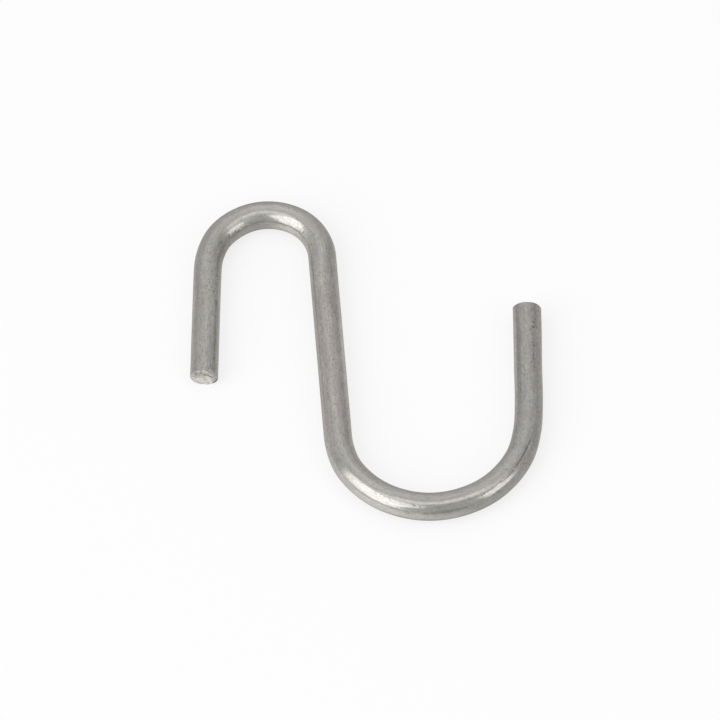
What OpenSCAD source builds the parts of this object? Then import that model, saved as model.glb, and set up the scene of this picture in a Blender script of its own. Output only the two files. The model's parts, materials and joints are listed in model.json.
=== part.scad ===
// S hook bent in one piece from round steel wire and sheared off at both ends.
// It lies flat on its side, with the small hook's bend towards +Y and the large
// hook's free leg on the +X side. Every length is in millimetres.

/* [Wire] */
// Diameter of the round wire
wire_d = 6.35; // [3:0.05:10]

/* [Small hook] */
// Clear width between the wire's two inner sides at the small bend
small_gap = 19.8; // [10:0.1:60]
// Angle that the wire turns through at the small bend, in degrees
small_turn_angle = 174.5; // [120:0.1:180]
// Straight length of the small hook's free leg
small_leg = 30.1; // [10:0.1:80]

/* [Shank] */
// Straight length of the shank between the two bends
shank = 47.8; // [10:0.1:200]

/* [Large hook] */
// Clear width between the wire's two inner sides at the large bend
large_gap = 36.7; // [10:0.1:100]
// Angle that the wire turns through at the large bend, in degrees
large_turn_angle = 175.9; // [120:0.1:180]
// Straight length of the large hook's free leg
large_leg = 29.65; // [10:0.05:80]

/* [Sheared ends] */
// Tilt of the small leg's cut in the hook's plane, in degrees: more makes its gap side longer
small_tilt_angle = 4.2; // [-12:0.1:12]
// Slope of the small leg's cut across that plane, in degrees: more makes its upper side longer
small_slope_angle = 2.3; // [-12:0.1:12]
// Tilt of the large leg's cut in the hook's plane, in degrees: more makes its gap side longer
large_tilt_angle = 1.1; // [-12:0.1:12]
// Slope of the large leg's cut across that plane, in degrees: more makes its upper side longer
large_slope_angle = -3.9; // [-12:0.1:12]
// Width of the rim that the shear rolled over, at its widest
rim_width = 0.8; // [0.5:0.05:1.2]
// Height of that rolled rim
rim_height = 0.4; // [0.1:0.05:0.5]

/* [Hidden] */
$fn = 96;

// Loss of diameter where the wire stretches round a bend
bend_thinning = 0.02;
// Depth to which a straight stretch runs on into its bend
bend_lap = 0.05;
// Directions round the wire in which each end's rim is rolled over, from the gap side
small_roll_angle = -45;
large_roll_angle = 150;

small_radius = (small_gap + wire_d) / 2;
large_radius = (large_gap + wire_d) / 2;
rim_radius = (rim_width ^ 2 + rim_height ^ 2) / (2 * rim_height);

// The wire's centre line in plan, from the small leg's cut at [0, 0] along +Y
small_centre = [small_radius, small_leg];
shank_top = small_centre + small_radius * [-cos(small_turn_angle), sin(small_turn_angle)];
shank_foot = shank_top + shank * [sin(small_turn_angle), cos(small_turn_angle)];
large_centre = shank_foot + large_radius * [-cos(small_turn_angle), sin(small_turn_angle)];
lean = large_turn_angle - small_turn_angle;
large_leg_foot = large_centre + large_radius * [cos(lean), sin(lean)];
large_leg_tip = large_leg_foot + large_leg * [-sin(lean), cos(lean)];

// The middle of the hook's outline in plan, under which the origin lies
right_most = lean > 0 ? large_centre.x + large_radius : large_leg_tip.x;
middle = [right_most, small_centre.y + small_radius + large_centre.y - large_radius] / 2;

// The jaw that shears the wire: a flat as wide as the wire, with a hollow edge that rolls the rim
module shear_jaw() {
    rotate_extrude() difference() {
        translate([0, -wire_d]) square([2 * wire_d, wire_d + rim_radius]);
        square([wire_d / 2, 2 * rim_radius]);
        translate([wire_d / 2, rim_radius]) circle(rim_radius);
    }
}

// A free leg that starts at its cut end and runs on along +Z
module leg(length, tilt, slope, roll) {
    difference() {
        translate([0, 0, -rim_radius]) cylinder(h = length + rim_radius + bend_lap, d = wire_d);
        rotate([slope, tilt, 0]) rotate(roll) translate([-rim_width, 0, 0]) shear_jaw();
    }
}

// A stretch of wire between two bends, along +Z
module straight(length) {
    translate([0, 0, -bend_lap]) cylinder(h = length + 2 * bend_lap, d = wire_d);
}

// A bend from +Z towards +X, with its children at its far end
module bend(radius, turn) {
    translate([radius, 0, 0]) {
        rotate([90, 0, 0]) rotate_extrude(angle = turn, start = 180 - turn)
            translate([radius, 0]) circle(d = wire_d - bend_thinning);
        rotate([0, turn, 0]) translate([-radius, 0, 0]) children();
    }
}

module hook() {
    color("silver") translate([-middle.x, -middle.y, wire_d / 2]) rotate([-90, 0, 0]) {
        leg(small_leg, small_tilt_angle, small_slope_angle, small_roll_angle);
        translate([0, 0, small_leg]) bend(small_radius, small_turn_angle) {
            straight(shank);
            translate([0, 0, shank]) rotate([0, 0, 180]) bend(large_radius, large_turn_angle)
                translate([0, 0, large_leg]) rotate([180, 0, 0])
                    leg(large_leg, large_tilt_angle, large_slope_angle, large_roll_angle);
        }
    }
}

hook();
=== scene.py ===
import json
import math

import bpy
import numpy as np
from mathutils import Matrix, Vector, noise


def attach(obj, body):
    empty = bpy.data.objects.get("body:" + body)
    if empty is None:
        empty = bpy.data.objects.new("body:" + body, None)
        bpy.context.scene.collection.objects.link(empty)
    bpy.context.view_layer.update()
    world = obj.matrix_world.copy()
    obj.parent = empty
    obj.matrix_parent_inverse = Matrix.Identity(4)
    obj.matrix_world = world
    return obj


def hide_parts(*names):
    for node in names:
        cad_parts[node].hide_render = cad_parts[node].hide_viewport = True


# An S hook of bare steel wire, sheared off at both ends, lying on a pale floor in a light
# studio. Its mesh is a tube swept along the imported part's own centre line, with the wire's
# drawing lines, pits and torn ends worked into it. Lengths are in metres unless a name ends
# in _mm, and the tables of places on the wire are in mm. "Along" is the distance from the
# small leg's cut, and the angle "around" the wire is 0 on top and grows towards the right of
# someone who walks along it from there.

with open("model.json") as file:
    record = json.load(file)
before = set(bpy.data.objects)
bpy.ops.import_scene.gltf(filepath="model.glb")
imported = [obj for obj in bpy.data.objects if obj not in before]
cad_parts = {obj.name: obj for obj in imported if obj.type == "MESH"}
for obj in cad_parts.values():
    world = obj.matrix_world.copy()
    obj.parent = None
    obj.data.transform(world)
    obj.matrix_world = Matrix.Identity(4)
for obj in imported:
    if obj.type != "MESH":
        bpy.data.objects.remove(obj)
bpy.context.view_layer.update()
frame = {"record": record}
record = frame["record"]
MM = 0.001

# ---------------------------------------------------------------- named values

# The free legs' straight lengths, to the middle of their cuts
SMALL_LEG = 30.1 * MM
LARGE_LEG = 29.65 * MM
# What the wire loses in radius where it stretches round a bend
BEND_THINNING_MM = 0.01

# The sheared ends. The gap is on the wire's right, 1, or left, -1. In degrees, the cut's tilt
# makes the gap side longer, its slope makes the upper side longer, and the roll is the way that
# the rim is rounded over, from the gap side. The noise is shifted so that the faces differ, and
# the face's middle has a place across the bake map.
# Burrs stand out from the rim: a direction from the gap side towards the top, a reach on each
# side, both in degrees, and a height in mm, which is negative for a nick.
# What follows lies on the cut's face, in wire radii from its middle, towards the gap and up:
# the upper border of the torn part, then strokes of points with a width, which are brighter,
# duller, tan with rust, dark brown, or darkened as painted shade, and a raised fleck.
SMALL_CUT = {
    "gap_side": 1, "tilt": 4.2, "slope": 2.3, "roll": -45.0, "noise_shift": 0.0, "map_across": 0.1,
    "burrs": [(-118, 14, 0.09), (-82, 9, 0.09), (-98, 7, -0.04)],
    "torn_below": [(-1.0, 0.05), (-0.82, 0.12), (-0.6, -0.1), (-0.35, 0.0), (-0.14, 0.38), (-0.02, 0.96),
                   (0.12, 1.02), (0.3, 0.78), (0.5, 0.42), (0.62, 0.1), (0.66, -0.4), (0.74, -1.1)],
    "bright": [([(0.32, -0.36), (0.42, -0.62)], 0.3), ([(-0.4, -0.2), (-0.18, -0.26)], 0.26),
               ([(-0.6, -0.4), (-0.25, -0.55)], 0.26), ([(0.12, -0.14), (0.34, -0.2)], 0.2),
               ([(-0.84, 0.2), (-0.64, 0.34)], 0.13), ([(-0.84, -0.12), (-0.76, -0.2)], 0.14),
               ([(0.05, 0.94), (0.06, 0.8)], 0.1), ([(-0.05, -0.6), (0.1, -0.62)], 0.2)],
    "dull": [([(0.0, 0.02), (0.05, -0.2), (0.18, -0.38)], 0.17), ([(-0.68, -0.06), (-0.52, 0.2)], 0.16),
             ([(0.1, 0.72), (0.2, 0.5), (0.36, 0.36)], 0.25), ([(0.6, 0.0), (0.66, -0.4)], 0.14),
             ([(-0.72, 0.44), (-0.52, 0.5)], 0.15), ([(-0.82, -0.4), (-0.7, -0.6)], 0.15),
             ([(0.1, 0.5), (-0.04, 0.3)], 0.25), ([(0.6, -0.5), (0.64, -0.75)], 0.16)],
    "tan": [([(0.2, 0.8), (0.37, 0.57), (0.5, 0.34)], 0.2), ([(0.05, 0.8), (0.0, 0.6)], 0.16),
            ([(-0.08, 0.58), (-0.02, 0.4)], 0.18), ([(0.2, 0.5), (0.4, 0.34)], 0.2)],
    "brown": [([(0.12, 0.34), (0.36, 0.24), (0.54, 0.06)], 0.23), ([(-0.16, 0.62), (-0.14, 0.5)], 0.18),
              ([(0.02, 0.42), (0.06, 0.26)], 0.15)],
    "shade": [([(0.62, -0.74), (0.84, -0.5), (0.96, -0.28)], 0.24), ([(-0.6, 0.5), (-0.5, 0.36)], 0.14)],
    "fleck": (-0.29, 0.81),
}
LARGE_CUT = {
    "gap_side": -1, "tilt": 1.1, "slope": -3.9, "roll": 150.0, "noise_shift": 40.0, "map_across": 0.25,
    "burrs": [(8, 13, 0.10), (42, 14, -0.06)],
    "torn_below": [(-1.0, -0.4), (-0.7, 0.1), (-0.2, 0.4), (0.3, 0.35), (0.7, 0.5), (1.0, 0.3)],
    "bright": [([(-0.3, -0.3), (0.1, -0.5)], 0.28), ([(0.5, 0.1), (0.7, -0.1)], 0.2),
               ([(-0.1, 0.2), (0.2, 0.15)], 0.15), ([(0.1, -0.8), (0.4, -0.7)], 0.16)],
    "dull": [([(0.2, -0.1), (0.5, -0.35)], 0.13), ([(-0.6, -0.4), (-0.5, -0.6)], 0.14),
             ([(-0.4, 0.1), (-0.2, -0.05)], 0.11)],
    "tan": [([(-0.5, 0.38), (-0.1, 0.5), (0.2, 0.46)], 0.2)],
    "brown": [([(-0.3, 0.32), (0.05, 0.36)], 0.14)],
    "shade": [([(-0.9, 0.2), (-0.75, 0.5)], 0.2)],
    "fleck": (0.45, 0.7),
}
# The rolled rim, the share of its radius at which it gets no steeper, and the length over
# which the rings turn from the cut's tilt to square
RIM_WIDTH_MM = 0.8
RIM_RADIUS_MM = 1.0
RIM_STEEPEST = 0.98
CUT_ZONE_MM = 3.0
# The burrs fade towards the face's middle with this power of the distance from it
BURR_FADE = 6
# The torn face: the sizes of its lumps and grit in mm along its two axes, how far both sway
# the torn part's border, and the width over which that part fades out, in wire radii
LUMP_SIZE_MM = (1.3, 1.0, 1.0)
GRIT_SIZE_MM = (0.45, 0.4, 1.0)
BORDER_SWAY = 0.06
BORDER_FADE = 0.14
# How far grit sways the width of a stroke, the fleck's radius, and its height in mm. The
# grit's noise is shifted from the lumps' one.
STROKE_SWAY = 0.5
GRIT_SHIFT = 7
FLECK_RADIUS = 0.07
FLECK_MM = 0.06
# Width of the border over which the relief eases out, and the depth of each part of it
RELIEF_EASE_MM = 0.35
TORN_MM, LUMP_MM, GRIT_MM = 0.03, 0.035, 0.03
DULL_MM, BRIGHT_MM, BROWN_MM = 0.03, 0.02, 0.04
# Bare shares: where it is torn, how far the noises sway that, what bright adds and dull takes
TORN_BARE, SWAY_BARE, BRIGHT_BARE, DULL_BARE = 0.4, 0.2, 0.35, 0.7
# Rusty shares of a tan or brown stroke: plain, and how far lumps and grit sway it
PLAIN_RUST, LUMP_RUST, GRIT_RUST = 0.65, 0.3, 0.5
# Dark shares of a brown stroke and of a stroke of painted shade
BROWN_DARK, SHADE_DARK = 0.7, 0.8
# How far the shear spread the large leg's end, to each side and towards the shank, and the
# length over which it did
SPREAD_MM = 0.05
SPREAD_ASIDE_MM = 0.03
SPREAD_ZONE_MM = 14.0

# Where the wire strays sideways from true lines and arcs: along, reach and shift to the right
STRAYS_MM = [
    (3, 4.0, 0.03), (33.5, 3.4, 0.22), (42, 3.5, 0.02), (60, 4.0, -0.085), (126.5, 3.6, 0.15),
    (142, 6.0, -0.08), (163, 4.5, 0.10), (180, 4.2, -0.25), (191, 5.0, 0.085), (207, 5.0, 0.035),
]
# Where bending squeezed it outwards: along, reach, around in degrees, and growth. The power
# keeps the swell to its own side of the wire.
SWELLS_MM = [(41.5, 5.5, 100, 0.19)]
SWELL_FOCUS = 4

# Single marks: along the wire and around it in degrees, then length, width and depth
MARKS = [
    # The small bend
    (35.8, 40, 0.45, 0.30, 0.050), (41.2, 60, 0.40, 0.25, 0.035), (44.0, 32, 0.30, 0.20, 0.030),
    (45.7, 57, 0.30, 0.25, 0.030), (50.5, 52, 0.40, 0.25, 0.030), (59.0, 15, 0.35, 0.25, 0.020),
    (62.4, 46, 0.30, 0.25, 0.030), (67.4, 40, 0.40, 0.25, 0.035),
    # The large bend
    (123.6, 33, 0.30, 0.20, 0.040), (125.1, 34, 0.30, 0.20, 0.035), (136.0, -19, 0.35, 0.20, 0.045),
    (142.8, 58, 0.30, 0.20, 0.030), (146.2, 30, 0.35, 0.20, 0.050), (148.3, 60, 0.40, 0.20, 0.030),
    (151.9, -19, 0.35, 0.20, 0.045), (153.2, 32, 0.50, 0.20, 0.035), (156.5, 60, 0.40, 0.20, 0.035),
    (157.6, 32, 0.30, 0.20, 0.030), (160.6, 32, 0.40, 0.20, 0.030), (161.3, -30, 0.30, 0.20, 0.030),
    (163.9, 61, 0.50, 0.25, 0.045), (165.6, 30, 0.30, 0.20, 0.030), (170.9, 33, 0.40, 0.22, 0.040),
    (174.3, -35, 0.30, 0.20, 0.030), (175.3, 32, 0.50, 0.22, 0.045),
    # The large leg
    (196.0, 29, 0.22, 0.20, 0.055), (197.2, -36, 0.30, 0.18, 0.030), (198.3, 29, 0.20, 0.22, 0.065),
    (199.2, 29, 0.40, 0.18, 0.080), (200.1, -36, 0.30, 0.18, 0.035), (201.9, 31, 0.20, 0.24, 0.085),
    (202.6, 27, 0.30, 0.18, 0.050), (202.9, -35, 0.25, 0.18, 0.030), (203.5, 29, 0.22, 0.22, 0.060),
    (204.6, 28, 0.22, 0.22, 0.050), (206.8, 28, 0.29, 0.40, 0.150), (208.0, 31, 0.20, 0.25, 0.055),
    (208.9, 36, 0.22, 0.18, 0.080), (209.4, 29, 0.20, 0.20, 0.045), (211.4, 29, 0.30, 0.20, 0.055),
    (211.5, 45, 0.35, 0.25, 0.040),
]
# Fine scores: from and to, each along and around in degrees, then width and depth
SCORES = [
    (141, 47, 153, 53, 0.18, 0.045), (161, 46, 167.5, 38, 0.18, 0.040),
    (165.5, 31, 172.5, 30, 0.20, 0.090), (169, 30, 177, 29, 0.25, 0.150),
    (174, 29, 180, 36, 0.20, 0.090),
]
# A score is a string of pits: the step between them, their length, and the share of its depth
# that each has, since they overlap. The depth follows half a wave along the score, cut short
# at both ends by this share of it.
SCORE_STEP_MM = 0.35
SCORE_PIT_MM = 0.4
SCORE_OVERLAP = 0.5
SCORE_FADE = 0.1
# Rows of small pits that the drawing die left: from, to, around in degrees and how many
PIT_ROWS = [
    (196, 213, 27, 44), (189, 211, -33, 30), (194, 212, -50, 30), (192, 212, 47, 30),
    (60, 104, 40, 26), (86, 112, 38, 26), (74, 103, -24, 40), (92, 114, -46, 34),
    (3, 27, 30, 26), (3, 28, 50, 26), (3, 28, -46, 28),
    (32, 57, 55, 30), (140, 178, 33, 40), (140, 168, 59, 30),
]
# Their scatter across the row in degrees, then the least value and what chance adds to it
ROW_SCATTER = 2.5
ROW_WIDTH_MM = (0.13, 0.08)
ROW_LENGTH_IN_WIDTHS = (1, 1)
ROW_DEPTH_MM = (0.012, 0.022)
# Shallow pits all over, with the same pairs. They gather where a noise with this length in mm
# along the wire and this fineness around it is above a limit that chance draws.
RANDOM_PITS = 800
RANDOM_WIDTH_MM = (0.15, 0.12)
RANDOM_LENGTH_IN_WIDTHS = (1, 0.8)
RANDOM_DEPTH_MM = (0.006, 0.014)
GATHER_MM = 7
GATHER_AROUND = 1.3
GATHER_LIMIT = (-0.15, 0.35)
# A pit is nil beyond this many of its lengths, and fully dark from this depth on
PIT_REACH = 3
DARK_DEPTH_MM = 0.06
# Drawing lines, slow waves and fine grain: depth in mm, size along and across the wire in mm,
# and a shift that keeps their noises apart
RELIEFS = [
    (0.005, (14.0, 0.5, 0.5), 0.0), (0.005, (6.0, 3.0, 3.0), 20.0), (0.0025, (1.4, 0.6, 0.6), 50.0),
]

# The mesh's fineness. The cut faces' rings lie closer towards the rim, by a power above 1.
COLUMNS = 88
RING_STEP_MM = 0.2035
END_RING_STEP_MM = 0.09
END_ZONE_MM = 1.4
CAP_RINGS = 24
CAP_CROWDING = 1.25
# Edges that turn by more degrees than this are shaded sharp
SHARP_ANGLE = 55

# The bake map: the wire in rows one above the other, and both cut faces above them
MAP_ROWS = 3
MAP_PER_MM = 0.0135
MAP_MARGIN = 0.02
MAP_ROW_PITCH = 0.285
MAP_FACE_HEIGHT = 0.93

# Camera: seen from above and a little from the right, through a long lens. Angles are in
# degrees, and the offset moves it to its own right and upwards.
CAMERA_AZIMUTH = 8.719
CAMERA_ELEVATION = 57.505
CAMERA_ROLL = 8.920
CAMERA_DISTANCE = 2.0745
CAMERA_LENS_MM = 460.0
CAMERA_OFFSET = (-1.542 * MM, -0.248 * MM)
CAMERA_CLIP = (0.1, 20.0)

# Studio: directions in degrees, from +X towards +Y and up from the floor. Widths, heights and
# reaches are in degrees too, as seen from the hook.
LAMP_DISTANCE = 1.3
LAMPS = {
    "key_softbox": {"azimuth": -146, "elevation": 35, "width": 49, "height": 53, "radiance": 1.78},
    "right_softbox": {"azimuth": -31, "elevation": 30, "width": 29, "height": 34, "radiance": 1.42},
    "overhead_strip": {"azimuth": -118, "elevation": 84, "width": 70, "height": 23, "roll": 26,
                       "radiance": 0.75},
}
# The pale room above the floor, and the floor as the steel mirrors it: levels, soft patches,
# and the height over which one turns to the other
SKY = 0.70
SKY_PATCHES = [
    {"azimuth": 12, "elevation": 21, "reach": 95, "level": 0.54},
    {"azimuth": -81, "elevation": 0, "reach": 29, "level": 0.18},
    {"azimuth": 97, "elevation": 49, "reach": 60, "level": 0.96},
    {"azimuth": 147, "elevation": 5, "reach": 62, "level": 0.65},
    {"azimuth": -92, "elevation": 52, "reach": 30, "level": 0.56},
]
GROUND = 0.68
GROUND_PATCHES = [
    {"azimuth": -146, "elevation": -27, "reach": 73, "level": 1.38},
    {"azimuth": 15, "elevation": -2, "reach": 57, "level": 0.57},
    {"azimuth": 5, "elevation": -80, "reach": 36, "level": 0.50},
    {"azimuth": 97, "elevation": -35, "reach": 50, "level": 0.52},
    {"azimuth": -32, "elevation": -42, "reach": 34, "level": 0.74},
]
HORIZON_BLUR = 0.08
# The floor's half width, its paper, and how far it is lifted to white for the eye
FLOOR_HALF = 3.0
FLOOR_COLOUR = 0.85
LIFT_TO_EYE = 0.75

# Steel, fresh where it was torn. The edge tint is how its mirror leans in colour where it is
# seen at a low angle.
STEEL_COLOUR = (0.412, 0.395, 0.376)
EDGE_TINT = (1.0, 0.975, 0.94)
STEEL_METALLIC = 0.88
STEEL_ROUGHNESS = 0.26
FRESH_STEEL = (0.90, 0.89, 0.845)
FRESH_LEVELS = (0.86, 1.0)
RUST_COLOUR = (0.60, 0.54, 0.455)
RUST_LEVELS = (0.85, 1.1)
RUST_COVER = 0.85
# How much of its brightness the steel keeps at the bottom of a deep pit, and the span of a
# pit's darkness over which it shows
PIT_LEVEL = 0.34
PIT_SPAN = (0.1, 1.0)

# Noises on the wire: scale per mm, stretch along it, detail and roughness. The first four sway
# the steel's brightness up and down, by the shares in SWAYS.
NOISES = {
    "grain": {"scale": 2.2, "stretch": (0.5, 1, 1), "detail": 3.0, "rough": 0.6},
    "mottle": {"scale": 0.95, "stretch": (0.4, 1, 1)},
    "streaks": {"scale": 2.4, "stretch": (0.04, 1, 1), "detail": 3.0, "rough": 0.6},
    "clouds": {"scale": 0.3, "stretch": (0.5, 1, 1)},
    "warmth": {"scale": 0.9, "stretch": (0.6, 1, 1)},
    "greenness": {"scale": 0.6, "stretch": (0.5, 1, 1)},
    "freshness": {"scale": 2.0, "detail": 3.0},
    "nudge": {"scale": 4.0, "detail": 1.0},
}
SWAYS = {"grain": 0.16, "mottle": 0.06, "streaks": 0.10, "clouds": 0.05}
# The span of values that a noise mostly keeps to, and a narrower one that sets patches apart
NOISE_SPAN = (0.3, 0.7)
PATCH_SPAN = (0.35, 0.65)

# Specks: scale per mm, stretch along the wire, radius in cells where they are few and many,
# width of their soft border, how far noise nudges them, and brightness around and in them
SPECK_SCALE = 2.0
SPECK_STRETCH = (0.65, 1, 1)
SPECK_RADII = (0.18, 0.46)
SPECK_BORDER = 0.05
SPECK_NUDGE = 0.3
SPECK_LEVELS = (1.04, 0.72)

# What grain, pits, specks and fresh steel add to the roughness
GRAIN_ROUGHNESS, PIT_ROUGHNESS, SPECK_ROUGHNESS, FRESH_ROUGHNESS = 0.04, 0.25, 0.05, 0.22
# The bump's strength and height, and the shares of grain and specks in it, beside the streaks
BUMP_STRENGTH = 0.25
BUMP_MM = 0.02
GRAIN_BUMP, SPECK_BUMP = 0.5, 0.4

# Tints that multiply the steel's colour, in pairs. Patches lean between the first two pairs,
# and stretches of the wire between the third.
BLUER, REDDER = (0.986, 1.0, 1.016), (1.015, 1.0, 0.984)
PINKER, GREENER = (1.005, 0.989, 1.005), (0.995, 1.010, 0.995)
COOLER, WARMER = (0.996, 1.007, 0.997), (1.010, 0.986, 0.990)
# The stretches that have the warmer tone: from, to and ease, in mm along the wire, and its
# share. The second one runs on past the large leg's cut.
WARM = [(68.0, 126.0, 16.0, 1.0), (186.0, 245.0, 22.0, 0.6)]
# The bends, which the bending die rubbed smoother: from, to and ease, in mm, how far their
# texture is evened out, and by how much their roughness changes
RUBBED = [(31.0, 66.0, 6.0, 0.38, -0.025), (122.0, 176.0, 6.0, 0.30, -0.035)]
# Soft patches that are lighter or darker: along, around in degrees, the reach along the wire
# and across it in mm, and the level. Some are the steel's own tone, and the rest are painted
# highlights, reflections and shade that stand in for studio lights that are only roughly known.
STEEL_TONES_AND_PAINTED_LIGHT = [
    # The small leg
    (15, -58, 24, 1.1, 1.12), (15, -41, 24, 1.2, 0.87), (15, -27, 24, 0.8, 1.08),
    (15, -9, 24, 0.9, 0.93), (15, 31, 24, 1.0, 1.18), (15, 88, 24, 1.8, 1.22),
    # The small bend
    (33.5, 90, 7, 2.5, 0.74), (40, 34, 5, 1.0, 1.25), (40, 55, 4, 0.8, 0.80), (41, 60, 5, 1.6, 0.80),
    (46, 35, 4.5, 0.9, 1.22), (48, -52, 9, 1.2, 0.76), (48.5, -62, 9, 2.4, 0.80),
    (50, 57, 5, 1.2, 1.13), (51.5, 84, 6.5, 1.9, 0.80), (52, -1, 14, 1.2, 1.14),
    (57.8, 50, 2.4, 0.5, 0.80), (58.5, 59, 5.5, 0.9, 1.30), (61.3, 47, 2.8, 0.7, 0.70),
    (61.5, 73, 4.5, 1.1, 0.80), (62, 50, 6, 2.2, 1.28), (64.3, 67, 2.8, 1.0, 0.76),
    (64.8, 52, 3.5, 0.7, 1.36), (69.5, 47, 3.5, 0.6, 1.32),
    # The shank
    (77, -14, 18, 1.3, 0.89), (77, 19, 16, 1.1, 1.08), (80, -39, 22, 1.3, 0.92),
    (94, -65, 36, 1.3, 1.30), (94, 43, 36, 1.1, 1.19), (96, 45, 34, 0.7, 1.07),
    (100, -63, 20, 1.2, 1.06), (100, -27, 24, 0.7, 1.07), (102, -8, 20, 1.1, 0.93),
    (107, 80, 12, 1.4, 0.84),
    # The large bend
    (126, 28, 9, 2.2, 0.86), (132, -28, 9, 1.6, 0.93), (136, -1, 14, 1.2, 1.12),
    (154, 92, 8, 1.7, 1.22),
    # The large leg
    (189, -78, 14, 1.2, 0.84), (198, -60, 22, 1.4, 1.22), (198, 60, 24, 2.0, 1.10),
    (200, -35, 24, 1.0, 0.79), (200, -5, 26, 1.1, 0.94), (204, -27, 26, 0.8, 1.09),
    (204, -24, 10, 0.9, 1.08),
]
# The free legs are duller: the stretch in mm on which the steel turns so, and its levels at
# both ends of it
SMALL_LEG_DULL = {"low": 30.0, "high": 50.0, "to_low": 0.97, "to_high": 1.0}
LARGE_LEG_DULL = {"low": 165.0, "high": 190.0, "to_low": 1.0, "to_high": 0.92}

SEED = 11


# ---------------------------------------------------------------- the wire's centre line

def mount(name):
    """The part's mount of that name."""
    return next(m for m in record["mounts"] if m["name"] == name)


WIRE_R = mount("small_leg_pin")["dims"]["r_mm"] * MM


class Stretch:
    """A straight or evenly bent stretch of the centre line. A positive bend turns left."""

    def __init__(self, start, heading, length, bend=0.0):
        self.start = np.array(start, float)
        self.heading = heading
        self.length = length
        self.bend = bend

    def at(self, along):
        """Points and headings at distances along the stretch."""
        turned = self.heading + self.bend * along
        if self.bend == 0.0:
            step = np.stack([np.cos(turned) * along, np.sin(turned) * along], -1)
        else:
            step = np.stack([np.sin(turned) - math.sin(self.heading),
                             math.cos(self.heading) - np.cos(turned)], -1) / self.bend
        return self.start + step, turned

    def end(self):
        """The stretch's last point, and its heading there."""
        point, heading = self.at(np.array([self.length]))
        return point[0], float(heading[0])


def bend_geometry():
    """Centres and radii of both bends, from the mounts that touch them."""
    rail, load = mount("rail_seat")["pos_m"], mount("load_seat")["pos_m"]
    small_leg, large_leg = mount("small_leg_pin"), mount("large_leg_pin")
    small_r = rail[0] - small_leg["pos_m"][0]
    small_centre = np.array([rail[0], rail[1] - (small_r - WIRE_R)])
    # The large bend touches the load seat and the large leg's axis, which leans by lean_x
    lean_x, lean_y, _ = large_leg["axis"]
    leg_x, leg_y, _ = large_leg["pos_m"]
    large_r = ((leg_x - load[0]) * lean_y + (load[1] - WIRE_R - leg_y) * lean_x) / (1 - lean_x)
    large_centre = np.array([load[0], load[1] + large_r - WIRE_R])
    return small_centre, small_r, large_centre, large_r


def centre_line():
    """The five stretches, from the small leg's cut to the large leg's."""
    small_centre, small_r, large_centre, large_r = bend_geometry()
    across = large_centre - small_centre
    apart = float(np.hypot(*across))
    # The shank is the line that crosses between both bends and touches each
    shank_length = math.sqrt(apart ** 2 - (small_r + large_r) ** 2)
    shank_heading = math.atan2(across[1], across[0]) - math.asin((small_r + large_r) / apart)
    lean_x, lean_y, _ = mount("large_leg_pin")["axis"]
    small_turn = math.pi / 2 - shank_heading
    large_turn = math.atan2(lean_y, lean_x) - shank_heading
    start = small_centre + [-small_r, -SMALL_LEG]
    stretches = []
    for length, bend in (
        (SMALL_LEG, 0.0),
        (small_r * small_turn, -1 / small_r),
        (shank_length, 0.0),
        (large_r * large_turn, 1 / large_r),
        (LARGE_LEG, 0.0),
    ):
        point, heading = stretches[-1].end() if stretches else (start, math.pi / 2)
        stretches.append(Stretch(point, heading, length, bend))
    return stretches


STRETCHES = centre_line()
LENGTH = sum(s.length for s in STRETCHES)


def trace(along):
    """Points and headings of the centre line, and how much of a bend each point is in."""
    points = np.zeros((len(along), 2))
    headings = np.zeros(len(along))
    bent = np.zeros(len(along))
    begin = 0.0
    for stretch in STRETCHES:
        last = stretch is STRETCHES[-1]
        inside = (along >= begin) & ((along < begin + stretch.length) | last)
        if stretch is STRETCHES[0]:
            inside |= along < 0
        points[inside], headings[inside] = stretch.at(along[inside] - begin)
        if stretch.bend:
            ease = np.minimum(along[inside] - begin, begin + stretch.length - along[inside])
            bent[inside] = np.clip(ease / WIRE_R, 0, 1)
        begin += stretch.length
    return points, headings, bent


# ---------------------------------------------------------------- marks on the wire

def unbent(along, around, radius_mm):
    """Where a point would be, in millimetres, if the wire were pulled straight."""
    return np.stack([along / MM, radius_mm * np.sin(around), radius_mm * np.cos(around)], -1)


def noise_at(places_mm, size_mm, shift):
    """Smooth noise from -1 to 1 whose grains have the given sizes along and across the wire."""
    in_grains = places_mm.reshape(-1, 3) / np.array(size_mm) + shift
    values = [noise.noise(Vector(p)) for p in in_grains]
    return np.array(values).reshape(places_mm.shape[:-1])


def pit(along, around, length, width, depth):
    """A pit at a place in mm along the wire and in radians around it, with its sizes in mm."""
    return {"along": along, "around": around, "length": length, "width": width, "depth": depth}


def by_chance(rng, least, spread):
    """A draw from least to least plus spread."""
    return least + spread * rng.random()


def single_marks():
    """The single marks, as pits."""
    return [pit(along, math.radians(around), *size) for along, around, *size in MARKS]


def pit_rows(rng):
    """Small pits and nicks strung along the wire."""
    pits = []
    for start, end, around, count in PIT_ROWS:
        for _ in range(count):
            along = by_chance(rng, start, end - start)
            turn = math.radians(around + ROW_SCATTER * rng.standard_normal())
            width = by_chance(rng, *ROW_WIDTH_MM)
            length = width * by_chance(rng, *ROW_LENGTH_IN_WIDTHS)
            pits.append(pit(along, turn, length, width, by_chance(rng, *ROW_DEPTH_MM)))
    return pits


def random_pits(rng):
    """Shallow pits left by scale and handling, thicker in some places than in others."""
    pits = []
    least_width, more_width = RANDOM_WIDTH_MM
    while len(pits) < RANDOM_PITS:
        along = rng.random() * LENGTH / MM
        around = (2 * rng.random() - 1) * math.pi
        where = (along / GATHER_MM, GATHER_AROUND * math.sin(around), GATHER_AROUND * math.cos(around))
        if noise.noise(Vector(where)) < by_chance(rng, *GATHER_LIMIT):
            continue
        # Squaring the draw makes most of them narrow
        width = least_width + more_width * rng.random() ** 2
        length = width * by_chance(rng, *RANDOM_LENGTH_IN_WIDTHS)
        pits.append(pit(along, around, length, width, by_chance(rng, *RANDOM_DEPTH_MM)))
    return pits


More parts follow.
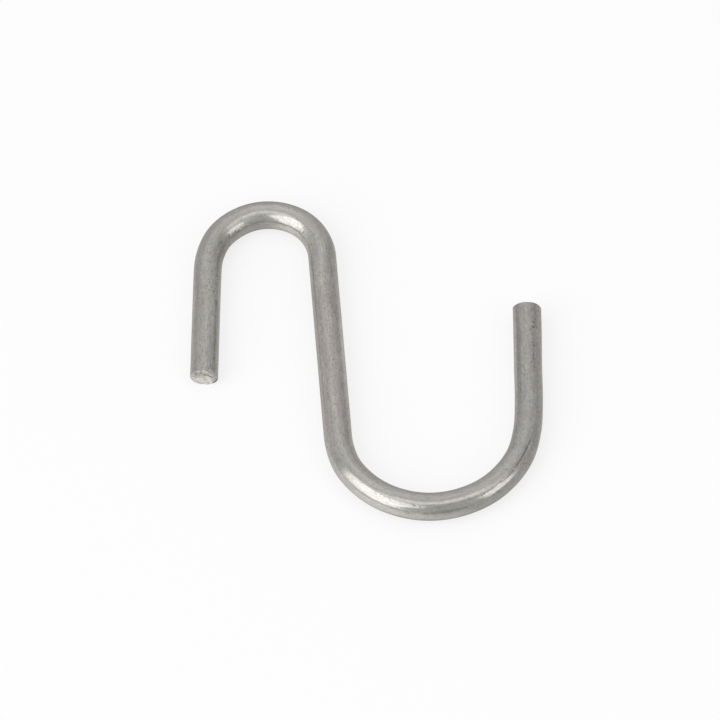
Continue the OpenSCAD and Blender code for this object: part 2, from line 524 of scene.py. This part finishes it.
def score_marks():
    """Fine scores, as strings of overlapping pits."""
    pits = []
    for along_0, around_0, along_1, around_1, width, depth in SCORES:
        count = math.ceil(abs(along_1 - along_0) / SCORE_STEP_MM)
        for share in np.linspace(0, 1, count):
            fade = math.sin(math.pi * (SCORE_FADE + (1 - 2 * SCORE_FADE) * share))
            along = along_0 + (along_1 - along_0) * share
            around = math.radians(around_0 + (around_1 - around_0) * share)
            pits.append(pit(along, around, SCORE_PIT_MM, width, SCORE_OVERLAP * depth * fade))
    return pits


def pit_fields(along, around, pits):
    """Depth in mm and darkness from 0 to 1 of the pits, on the grid of rings and columns."""
    depth = np.zeros((len(along), len(around)))
    dark = np.zeros_like(depth)
    along_mm = along / MM
    for mark in pits:
        reach = PIT_REACH * mark["length"]
        low, high = np.searchsorted(along_mm, [mark["along"] - reach, mark["along"] + reach])
        turn = np.angle(np.exp(1j * (around - mark["around"])))
        x = (along_mm[low:high, None] - mark["along"]) / mark["length"]
        y = turn[None, :] * (WIRE_R / MM) / mark["width"]
        bowl = np.exp(-(x ** 2 + y ** 2))
        depth[low:high] += mark["depth"] * bowl
        darkest = min(1.0, mark["depth"] / DARK_DEPTH_MM)
        dark[low:high] = np.maximum(dark[low:high], darkest * bowl)
    return depth, dark


def wire_skin(along, around):
    """The wire's radius in mm and its pits' darkness, on the grid of rings and columns."""
    rng = np.random.default_rng(SEED)
    marks = single_marks() + score_marks() + pit_rows(rng) + random_pits(rng)
    pits, dark = pit_fields(along, around, marks)
    radius = WIRE_R / MM
    grid_along, grid_around = np.meshgrid(along, around, indexing="ij")
    places = unbent(grid_along, grid_around, radius)
    relief = sum(depth * (0.5 + noise_at(places, size, shift)) for depth, size, shift in RELIEFS)
    _, _, bent = trace(along)
    sink = relief + pits + BEND_THINNING_MM * bent[:, None]
    return radius - np.maximum(sink, 0) + spread_mm(along, around) + swell_mm(along, around), dark


def spread_mm(along, around):
    """How far the large leg's end stands out at its sides, where the shear squeezed it."""
    near = np.clip(1 - (LENGTH - along) / (SPREAD_ZONE_MM * MM), 0, 1)
    ease = near * (2 - near)
    side = np.sin(around)
    return ease[:, None] * (SPREAD_MM * side ** 2 - SPREAD_ASIDE_MM * side)[None, :]


def swell_mm(along, around):
    """How far the wire stands out where bending squeezed it."""
    swell = np.zeros((len(along), len(around)))
    for middle, reach, side, growth in SWELLS_MM:
        near = np.exp(-((along / MM - middle) / reach) ** 2)
        facing = np.maximum(np.cos(around - math.radians(side)), 0) ** SWELL_FOCUS
        swell += growth * near[:, None] * facing[None, :]
    return swell


def stray_mm(along):
    """How far the wire lies to the right of true lines and arcs."""
    return sum(shift * np.exp(-((along / MM - middle) / reach) ** 2)
               for middle, reach, shift in STRAYS_MM)


# ---------------------------------------------------------------- the sheared ends

def cut_height_mm(cut, gap_mm, up_mm):
    """How far inwards the cut lies, at a place in the wire's section: gap_mm is towards the gap."""
    radius = WIRE_R / MM
    tilt, slope, roll = (math.radians(cut[k]) for k in ("tilt", "slope", "roll"))
    plane = -math.tan(tilt) * gap_mm - math.tan(slope) / math.cos(tilt) * up_mm
    centre = (-RIM_WIDTH_MM * math.cos(roll), RIM_WIDTH_MM * math.sin(roll))
    out = np.hypot(gap_mm - centre[0], up_mm - centre[1]) - radius
    out = np.clip(out, 0, RIM_RADIUS_MM * RIM_STEEPEST)
    height = plane + RIM_RADIUS_MM - np.sqrt(RIM_RADIUS_MM ** 2 - out ** 2)
    turn = np.arctan2(up_mm, gap_mm)
    at_rim = (np.hypot(gap_mm, up_mm) / radius) ** BURR_FADE
    for where, reach, proud in cut["burrs"]:
        away = np.angle(np.exp(1j * (turn - math.radians(where)))) / math.radians(reach)
        height = height - proud * at_rim * np.exp(-away ** 2)
    return height


def stroke(gap, up, points, width):
    """1 on a line through the points, falling softly to 0 at its width."""
    share = np.zeros_like(gap)
    for (gap_0, up_0), (gap_1, up_1) in zip(points, points[1:]):
        step = np.array([gap_1 - gap_0, up_1 - up_0])
        done = ((gap - gap_0) * step[0] + (up - up_0) * step[1]) / (step @ step)
        done = np.clip(done, 0, 1)
        away = np.hypot(gap - gap_0 - done * step[0], up - up_0 - done * step[1])
        near = np.clip(1 - away / width, 0, 1)
        share = np.maximum(share, near * near * (3 - 2 * near))
    return share


def strokes(gap, up, cut, kind, wander):
    """The strokes of one kind on a cut's face, with edges that wander."""
    share = np.zeros_like(gap)
    for points, width in cut[kind]:
        share = np.maximum(share, stroke(gap, up, points, width * (1 + wander)))
    return share


def cut_face(cut, gap_mm, up_mm):
    """Relief in mm and the bare, rusty and dark shares of a cut's face. The dark share is the brown
    strokes' rust and the painted shade of the shade strokes.
    """
    radius = WIRE_R / MM
    gap, up = gap_mm / radius, up_mm / radius
    places = np.stack([gap_mm, up_mm, np.zeros_like(gap_mm)], -1)
    lumps = noise_at(places, LUMP_SIZE_MM, cut["noise_shift"])
    grit = noise_at(places, GRIT_SIZE_MM, cut["noise_shift"] + GRIT_SHIFT)
    border = np.interp(gap, *zip(*cut["torn_below"])) + BORDER_SWAY * lumps + BORDER_SWAY * grit
    torn = np.clip(0.5 + (border - up) / BORDER_FADE, 0, 1)
    bright, dull, tan, brown, shade = (strokes(gap, up, cut, kind, STROKE_SWAY * grit)
                                       for kind in ("bright", "dull", "tan", "brown", "shade"))
    from_fleck = np.hypot(gap - cut["fleck"][0], up - cut["fleck"][1])
    fleck = np.clip(1.5 - from_fleck / FLECK_RADIUS, 0, 1)

    inside = np.clip((radius - np.hypot(gap_mm, up_mm)) / RELIEF_EASE_MM, 0, 1)
    relief = torn * (TORN_MM + LUMP_MM * lumps + GRIT_MM * grit)
    relief = relief + DULL_MM * dull - BRIGHT_MM * bright + BROWN_MM * brown
    bare = torn * (TORN_BARE + SWAY_BARE * lumps + SWAY_BARE * grit) + BRIGHT_BARE * bright
    bare = np.clip(bare, 0, 1) * (1 - DULL_BARE * dull)
    rust = (PLAIN_RUST + LUMP_RUST * lumps + GRIT_RUST * grit) * np.maximum(tan, brown)
    # Painted shade from the shade strokes, and the darkness of the brown ones
    dark = np.maximum(BROWN_DARK * brown, SHADE_DARK * shade)
    return relief * inside - FLECK_MM * fleck, np.maximum(bare, fleck), rust, dark


# ---------------------------------------------------------------- the hook's mesh

def ring_places():
    """Distances along the wire of the rings, closer together near both cuts."""
    end_count = round(END_ZONE_MM / END_RING_STEP_MM)
    near = np.linspace(0, END_ZONE_MM, end_count, endpoint=False) * MM
    middle_count = round((LENGTH / MM - 2 * END_ZONE_MM) / RING_STEP_MM)
    middle = np.linspace(END_ZONE_MM * MM, LENGTH - END_ZONE_MM * MM, middle_count)
    return np.concatenate([near, middle, (LENGTH - near)[::-1]])


def points_at(along, around, radius_mm):
    """Row-frame points for distances along, angles around and radii, all of one shape."""
    points, headings, _ = trace(along.reshape(-1))
    points = points.reshape(along.shape + (2,))
    headings = headings.reshape(along.shape)
    right = np.stack([np.sin(headings), -np.cos(headings)], -1)
    aside = (radius_mm * np.sin(around) + stray_mm(along)) * MM
    height = WIRE_R + radius_mm * MM * np.cos(around)
    flat = points + right * aside[..., None]
    return np.concatenate([flat, height[..., None]], -1)


def cut_shift(cut, around, from_cut):
    """How far the rings move from the cut, so that the last one follows its rim."""
    radius = WIRE_R / MM
    rim = cut_height_mm(cut, cut["gap_side"] * radius * np.sin(around), radius * np.cos(around))
    share = np.clip(1 - from_cut / (CUT_ZONE_MM * MM), 0, 1)
    return share[:, None] * rim[None, :] * MM


def cells(grid):
    """The four corners of every cell between neighbouring rings and columns of a grid."""
    return np.stack([grid[:-1, :-1], grid[:-1, 1:], grid[1:, 1:], grid[1:, :-1]], axis=2)


def wrapped(grid):
    """A grid with its first column once more at its end."""
    return np.concatenate([grid, grid[:, :1]], axis=1)


class Shell:
    """Collects vertices with their marks, and faces with their corners on the bake map."""

    def __init__(self):
        self.points = []
        self.unbent = []
        self.marks = {"pit": [], "bare": [], "rust": []}
        self.faces = []
        self.map_corners = []
        self.count = 0

    def add_points(self, points, unbent_mm, **marks):
        """Adds vertices and returns their indices, as a grid of the same shape."""
        self.points.append(points.reshape(-1, 3))
        self.unbent.append(unbent_mm.reshape(-1, 3))
        for name, kept in self.marks.items():
            kept.append(np.broadcast_to(marks.get(name, 0.0), points.shape[:-1]).reshape(-1))
        added = len(self.points[-1])
        index = self.count + np.arange(added).reshape(points.shape[:-1])
        self.count += added
        return index

    def add_faces(self, corners, map_corners, flip=False):
        """Adds faces that all have the same number of corners."""
        sides = corners.shape[-1]
        turn = slice(None, None, -1 if flip else 1)
        self.faces += corners.reshape(-1, sides)[:, turn].tolist()
        self.map_corners.append(map_corners.reshape(-1, sides, 2)[:, turn].reshape(-1, 2))

    def to_object(self, name):
        """The mesh object, with its bake map and its marks as attributes."""
        mesh = bpy.data.meshes.new(name)
        mesh.from_pydata(np.concatenate(self.points).tolist(), [], self.faces)
        bake_map = mesh.uv_layers.new(name="OFBake")
        bake_map.data.foreach_set("uv", np.concatenate(self.map_corners).reshape(-1))
        add_attribute(mesh, "wire_mm", "FLOAT_VECTOR", np.concatenate(self.unbent))
        for mark, values in self.marks.items():
            add_attribute(mesh, mark, "FLOAT", np.concatenate(values))
        mesh.shade_smooth()
        mesh.set_sharp_from_angle(angle=math.radians(SHARP_ANGLE))
        return add_object(name, mesh)


def add_attribute(mesh, name, kind, values):
    """A value or a vector at each vertex, for the material to read."""
    attribute = mesh.attributes.new(name, kind, "POINT")
    key = "vector" if kind == "FLOAT_VECTOR" else "value"
    attribute.data.foreach_set(key, np.asarray(values, np.float32).reshape(-1))


def wire_on_map(along, around):
    """The tube's cells on the bake map: rows of unrolled wire that meet along its underside."""
    columns = np.append(around, math.pi)
    corners = cells(np.stack(np.meshgrid(along / MM, columns, indexing="ij"), -1))
    row_length = LENGTH / MM / MAP_ROWS
    row = np.floor(corners[..., 0].mean(2, keepdims=True) / row_length)
    across = MAP_MARGIN + (corners[..., 0] - row * row_length) * MAP_PER_MM
    height = MAP_MARGIN + row * MAP_ROW_PITCH + (corners[..., 1] + math.pi) * WIRE_R / MM * MAP_PER_MM
    return np.stack([across, height], -1)


def add_wire(shell, along, around):
    """The tube between both cuts. Returns the indices of its vertices."""
    grid_along, grid_around = np.meshgrid(along, around, indexing="ij")
    surface, dark = wire_skin(along, around)
    shift = cut_shift(SMALL_CUT, around, along) - cut_shift(LARGE_CUT, around, LENGTH - along)
    places = unbent(grid_along, grid_around, WIRE_R / MM)
    points = points_at(grid_along + shift, grid_around, surface)
    index = shell.add_points(points, places, pit=dark)
    shell.add_faces(cells(wrapped(index)), wire_on_map(along, around))
    return index


def add_cap(shell, cut, around, rim, at_start):
    """Closes an end, from the tube's last ring to the middle of the cut."""
    radius = WIRE_R / MM
    map_middle = np.array([cut["map_across"], MAP_FACE_HEIGHT])
    share = np.linspace(0, 1, CAP_RINGS + 1)[:-1]
    ring_r, ring_a = np.meshgrid(radius * (1 - share ** CAP_CROWDING), around, indexing="ij")
    gap_mm, up_mm = cut["gap_side"] * ring_r * np.sin(ring_a), ring_r * np.cos(ring_a)
    relief, bare, rust, dark = cut_face(cut, gap_mm, up_mm)
    inwards = (cut_height_mm(cut, gap_mm, up_mm) + relief) * MM
    along = inwards if at_start else LENGTH - inwards
    points = points_at(along, ring_a, ring_r)
    places = unbent(along, ring_a, ring_r)
    # Their dark shares, painted shade among them, go into the pit mark, which darkens the colour
    inner = shell.add_points(points[1:], places[1:], bare=bare[1:], rust=rust[1:], pit=dark[1:])
    hub = shell.add_points(points[-1:].mean(1), places[-1:].mean(1), bare=bare[-1].mean())

    index = wrapped(np.concatenate([rim[None], inner]))
    on_map = wrapped(map_middle + MAP_PER_MM * np.stack([gap_mm, up_mm], -1))
    shell.add_faces(cells(index), cells(on_map), flip=at_start)
    fan = np.stack([index[-1, :-1], index[-1, 1:], np.full(COLUMNS, hub[0])], -1)
    fan_on_map = np.stack([on_map[-1, :-1], on_map[-1, 1:],
                           np.broadcast_to(map_middle, (COLUMNS, 2))], -2)
    shell.add_faces(fan, fan_on_map, flip=at_start)


def build_hook():
    """The whole hook as one closed mesh."""
    along = ring_places()
    around = np.arange(COLUMNS) * 2 * math.pi / COLUMNS - math.pi
    shell = Shell()
    wire = add_wire(shell, along, around)
    add_cap(shell, SMALL_CUT, around, wire[0], at_start=True)
    add_cap(shell, LARGE_CUT, around, wire[-1], at_start=False)
    return shell.to_object("hook_wire")


def add_object(name, data):
    """A new object in the scene, made of a mesh, lamp or camera."""
    thing = bpy.data.objects.new(name, data)
    bpy.context.scene.collection.objects.link(thing)
    return thing


# ---------------------------------------------------------------- materials

def rgba(colour):
    """A colour as a socket takes it. A socket is passed on as it is."""
    return colour if isinstance(colour, bpy.types.NodeSocket) else (*colour, 1.0)


class Nodes:
    """Short calls for building a node tree. A value may be a number or another node's socket."""

    def __init__(self, tree):
        self.tree = tree
        tree.nodes.clear()

    def add(self, kind, inputs=None, **settings):
        """A node of a kind, with its inputs by name or number, and its settings."""
        node = self.tree.nodes.new(kind)
        for name, value in settings.items():
            setattr(node, name, value)
        for name, value in (inputs or {}).items():
            if isinstance(value, bpy.types.NodeSocket):
                self.tree.links.new(value, node.inputs[name])
            else:
                node.inputs[name].default_value = value
        return node

    def attribute(self, name, output="Fac"):
        return self.add("ShaderNodeAttribute", attribute_name=name).outputs[output]

    def part(self, vector, axis):
        return self.add("ShaderNodeSeparateXYZ", {"Vector": vector}).outputs[axis]

    def math(self, operation, a, b=0.0):
        return self.add("ShaderNodeMath", {0: a, 1: b}, operation=operation).outputs[0]

    def total(self, first, *others):
        """All of them added up."""
        for other in others:
            first = self.math("ADD", first, other)
        return first

    def product(self, first, *others):
        """All of them multiplied."""
        for other in others:
            first = self.math("MULTIPLY", first, other)
        return first

    def vector(self, operation, a, b):
        """A vector. To scale one, b is a number, and otherwise it is a vector too."""
        inputs = {0: a, 3 if operation == "SCALE" else 1: b}
        return self.add("ShaderNodeVectorMath", inputs, operation=operation).outputs[0]

    def remap(self, value, low, high, to_low=0.0, to_high=1.0, smooth=True):
        """A value's span from low to high carried over to another, and clamped to it."""
        kind = "SMOOTHSTEP" if smooth else "LINEAR"
        node = self.add("ShaderNodeMapRange", {"Value": value, "From Min": low, "From Max": high,
                                               "To Min": to_low, "To Max": to_high},
                        interpolation_type=kind)
        return node.outputs["Result"]

    def mix(self, factor, a, b, blend="MIX"):
        return self.add("ShaderNodeMix", {0: factor, 6: rgba(a), 7: rgba(b)},
                        data_type="RGBA", blend_type=blend).outputs[2]

    def noise(self, place, scale, stretch=(1, 1, 1), detail=2.0, rough=0.5, output="Fac"):
        moved = self.add("ShaderNodeMapping", {"Vector": place, "Scale": stretch}).outputs[0]
        return self.add("ShaderNodeTexNoise", {"Vector": moved, "Scale": scale, "Detail": detail,
                                               "Roughness": rough}).outputs[output]


def new_material(name):
    """An empty material and its nodes."""
    material = bpy.data.materials.new(name)
    material.use_nodes = True
    return material, Nodes(material.node_tree)


def speck_mask(n, place, clouds):
    """Small dark specks, from 0 to 1, of many sizes and thicker in some places."""
    nudge = n.vector("SCALE", n.noise(place, **NOISES["nudge"], output="Color"), SPECK_NUDGE)
    nudged = n.vector("ADD", place, nudge)
    moved = n.add("ShaderNodeMapping", {"Vector": nudged, "Scale": SPECK_STRETCH}).outputs[0]
    pattern = n.add("ShaderNodeTexVoronoi", {"Vector": moved, "Scale": SPECK_SCALE})
    radius = n.product(pattern.outputs["Color"], n.remap(clouds, *PATCH_SPAN, *SPECK_RADII))
    beyond = n.math("SUBTRACT", pattern.outputs["Distance"], radius)
    return n.remap(beyond, -SPECK_BORDER, SPECK_BORDER, 1.0, 0.0)


def on_stretch(n, along, start, end, ease, amount):
    """An amount that holds on a stretch of the wire, easing to 0 at both ends."""
    rise = n.remap(along, start, start + ease, 0.0, amount)
    fall = n.remap(along, end - ease, end, 1.0, 0.0)
    return n.product(rise, fall)


def tint_of_steel(n, place, along):
    """Patches that lean to red, blue, green or pink, and the warmer stretches."""
    warmth, greenness = (n.noise(place, **NOISES[name]) for name in ("warmth", "greenness"))
    patches = n.mix(n.remap(warmth, *PATCH_SPAN), BLUER, REDDER)
    green = n.mix(n.remap(greenness, *PATCH_SPAN), PINKER, GREENER)
    stretches = n.mix(n.total(*(on_stretch(n, along, *values) for values in WARM)), COOLER, WARMER)
    return n.mix(1.0, n.mix(1.0, patches, green, "MULTIPLY"), stretches, "MULTIPLY")


def tone_and_painted_light_of_steel(n, place):
    """How light the steel is in soft lighter and darker patches: partly its own tone, partly painted
    highlights, reflections and shade.
    """
    radius = WIRE_R / MM
    tones_and_painted_light = []
    for along, around, length, width, level in STEEL_TONES_AND_PAINTED_LIGHT:
        turn = math.radians(around)
        away = n.vector("SUBTRACT", place, (along, radius * math.sin(turn), radius * math.cos(turn)))
        away = n.vector("MULTIPLY", away, (1 / length, 1 / width, 1 / width))
        away = n.add("ShaderNodeVectorMath", {0: away}, operation="LENGTH").outputs["Value"]
        tones_and_painted_light.append(n.remap(away, 0.0, 1.0, level, 1.0))
    return n.product(*tones_and_painted_light)


def level_of_steel(n, place, along, noises, specks):
    """How bright the steel is: its texture, evened out in the bends, its patches of tone and of painted
    highlight and shade, and its legs.
    """
    sways = [n.remap(noises[name], *NOISE_SPAN, 1 - sway, 1 + sway, smooth=False)
             for name, sway in SWAYS.items()]
    texture = n.product(*sways, n.remap(specks, 0.0, 1.0, *SPECK_LEVELS))
    evening = n.total(*(on_stretch(n, along, *span, share) for *span, share, _ in RUBBED))
    evened = n.total(texture, n.product(n.math("SUBTRACT", 1.0, texture), evening))
    legs = n.remap(along, **SMALL_LEG_DULL), n.remap(along, **LARGE_LEG_DULL)
    return n.product(evened, tone_and_painted_light_of_steel(n, place), *legs)


def colour_of_steel(n, place, along, noises, specks):
    """Worn steel with some painted highlights and shade, fresh where bare, with rust over it, dark in
    its pits.
    """
    pit, bare, rust = (n.attribute(name) for name in ("pit", "bare", "rust"))
    tinted = n.mix(1.0, STEEL_COLOUR, tint_of_steel(n, place, along), "MULTIPLY")
    # The level carries the tone patches, and painted highlights, reflections and shade are among them
    worn_with_painted_light = n.vector("SCALE", tinted, level_of_steel(n, place, along, noises, specks))
    freshness = n.noise(place, **NOISES["freshness"])
    fresh = n.vector("SCALE", FRESH_STEEL, n.remap(freshness, *PATCH_SPAN, *FRESH_LEVELS))
    rusty = n.vector("SCALE", RUST_COLOUR, n.remap(noises["grain"], *NOISE_SPAN, *RUST_LEVELS))
    colour = n.mix(n.product(rust, RUST_COVER), n.mix(bare, worn_with_painted_light, fresh), rusty)
    # Darker in pits, and on the cut faces in the brown rust and in the painted shade
    return n.vector("SCALE", colour, n.remap(pit, *PIT_SPAN, 1.0, PIT_LEVEL))


def roughness_of_steel(n, along, grain, specks):
    """Smoother in the bends, rougher in pits and where the steel is bare."""
    smoothest, roughest = STEEL_ROUGHNESS - GRAIN_ROUGHNESS, STEEL_ROUGHNESS + GRAIN_ROUGHNESS
    return n.total(
        n.remap(grain, *NOISE_SPAN, roughest, smoothest, smooth=False),
        n.remap(n.attribute("pit"), *PIT_SPAN, 0.0, PIT_ROUGHNESS),
        n.product(specks, SPECK_ROUGHNESS),
        n.product(n.attribute("bare"), FRESH_ROUGHNESS),
        *(on_stretch(n, along, *span, change) for *span, _, change in RUBBED))


def steel_material():
    """Grey drawn steel with a fine grain, brighter where it was torn."""
    material, n = new_material("bare_steel")
    place = n.attribute("wire_mm", "Vector")
    along = n.part(place, "X")
    noises = {name: n.noise(place, **NOISES[name]) for name in SWAYS}
    specks = speck_mask(n, place, noises["clouds"])
    height = n.total(n.product(noises["grain"], GRAIN_BUMP), noises["streaks"])
    height = n.math("SUBTRACT", height, n.product(specks, SPECK_BUMP))
    bump = n.add("ShaderNodeBump", {"Strength": BUMP_STRENGTH, "Distance": BUMP_MM * MM,
                                    "Height": height})
    shader = n.add("ShaderNodeBsdfPrincipled", {
        "Base Color": colour_of_steel(n, place, along, noises, specks),
        "Roughness": roughness_of_steel(n, along, noises["grain"], specks),
        "Metallic": STEEL_METALLIC, "Specular Tint": rgba(EDGE_TINT), "Normal": bump.outputs[0]})
    n.add("ShaderNodeOutputMaterial", {"Surface": shader.outputs[0]})
    return material


def floor_material():
    """Pale paper, lifted towards white for the eye."""
    material, n = new_material("pale_paper")
    paper = n.add("ShaderNodeBsdfDiffuse", {"Color": rgba((FLOOR_COLOUR,) * 3)})
    white = n.add("ShaderNodeEmission", {"Color": (1, 1, 1, 1), "Strength": 1.0})
    lift = n.product(n.add("ShaderNodeLightPath").outputs["Is Camera Ray"], LIFT_TO_EYE)
    mixed = n.add("ShaderNodeMixShader", {0: lift, 1: paper.outputs[0], 2: white.outputs[0]})
    n.add("ShaderNodeOutputMaterial", {"Surface": mixed.outputs[0]})
    return material


# ---------------------------------------------------------------- studio

def direction(azimuth, elevation):
    """A unit vector towards an azimuth from +X and an elevation, in degrees."""
    azimuth, elevation = math.radians(azimuth), math.radians(elevation)
    return Vector((math.cos(elevation) * math.cos(azimuth),
                   math.cos(elevation) * math.sin(azimuth), math.sin(elevation)))


def add_floor():
    """A wide floor. The steel doesn't mirror it, but the room's lower half in its place."""
    mesh = bpy.data.meshes.new("floor")
    corners = [(FLOOR_HALF * x, FLOOR_HALF * y, 0) for x, y in ((-1, -1), (1, -1), (1, 1), (-1, 1))]
    mesh.from_pydata(corners, [], [(0, 1, 2, 3)])
    mesh.materials.append(floor_material())
    floor = add_object("floor", mesh)
    floor.visible_glossy = False


def add_lamp(name, azimuth, elevation, width, height, radiance, roll=0.0):
    """A softbox that fills the given angles as seen from the hook."""
    lamp = bpy.data.lights.new(name, "AREA")
    lamp.shape = "RECTANGLE"
    lamp.size = 2 * LAMP_DISTANCE * math.tan(math.radians(width / 2))
    lamp.size_y = 2 * LAMP_DISTANCE * math.tan(math.radians(height / 2))
    lamp.energy = radiance * math.pi * lamp.size * lamp.size_y
    softbox = add_object(name, lamp)
    away = direction(azimuth, elevation)
    turn = away.to_track_quat("Z", "Y").to_matrix() @ Matrix.Rotation(math.radians(roll), 3, "Z")
    softbox.matrix_world = Matrix.Translation(away * LAMP_DISTANCE) @ turn.to_4x4()
    softbox.visible_camera = False


def half_dome(n, towards, level, patches):
    """One half of the room: its level, with soft patches that are lighter or darker."""
    grey = (level,) * 3
    for patch in patches:
        middle = direction(patch["azimuth"], patch["elevation"])
        cosine = n.add("ShaderNodeVectorMath", {0: towards, 1: middle}, operation="DOT_PRODUCT")
        angle = n.math("ARCCOSINE", cosine.outputs["Value"])
        share = n.remap(angle, 0.0, math.radians(patch["reach"]), 1.0, 0.0)
        grey = n.mix(share, grey, (patch["level"],) * 3)
    return grey


def add_room():
    """A pale room. What lies under the horizon shows only in the steel, as the floor would."""
    world = bpy.data.worlds.new("pale_room")
    bpy.context.scene.world = world
    world.use_nodes = True
    n = Nodes(world.node_tree)
    towards = n.add("ShaderNodeTexCoord").outputs["Generated"]
    above = n.remap(n.part(towards, "Z"), -HORIZON_BLUR, HORIZON_BLUR)
    ground = half_dome(n, towards, GROUND, GROUND_PATCHES)
    sky = half_dome(n, towards, SKY, SKY_PATCHES)
    light = n.add("ShaderNodeBackground", {"Color": n.mix(above, ground, sky), "Strength": 1.0})
    n.add("ShaderNodeOutputWorld", {"Surface": light.outputs[0]})


def add_camera():
    """Looks down at the middle of the hook."""
    azimuth, elevation, roll = (math.radians(a) for a in
                                (CAMERA_AZIMUTH, CAMERA_ELEVATION, CAMERA_ROLL))
    back = Vector((math.sin(azimuth) * math.cos(elevation),
                   -math.cos(azimuth) * math.cos(elevation), math.sin(elevation)))
    level = Vector((math.cos(azimuth), math.sin(azimuth), 0))
    right = level * math.cos(roll) - back.cross(level) * math.sin(roll)
    up = back.cross(right)
    middle = Vector((0, 0, WIRE_R))
    lens = bpy.data.cameras.new("camera")
    lens.lens = CAMERA_LENS_MM
    lens.clip_start, lens.clip_end = CAMERA_CLIP
    camera = add_object("camera", lens)
    turn = Matrix((right, up, back)).transposed().to_4x4()
    where = middle + back * CAMERA_DISTANCE + right * CAMERA_OFFSET[0] + up * CAMERA_OFFSET[1]
    camera.matrix_world = Matrix.Translation(where) @ turn
    bpy.context.scene.camera = camera


bpy.context.scene.view_settings.view_transform = "Standard"
add_camera()
add_room()
for name, lamp in LAMPS.items():
    add_lamp(name, **lamp)
add_floor()

hook = build_hook()
hook.data.materials.append(steel_material())
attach(hook, "root")
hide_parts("hook")
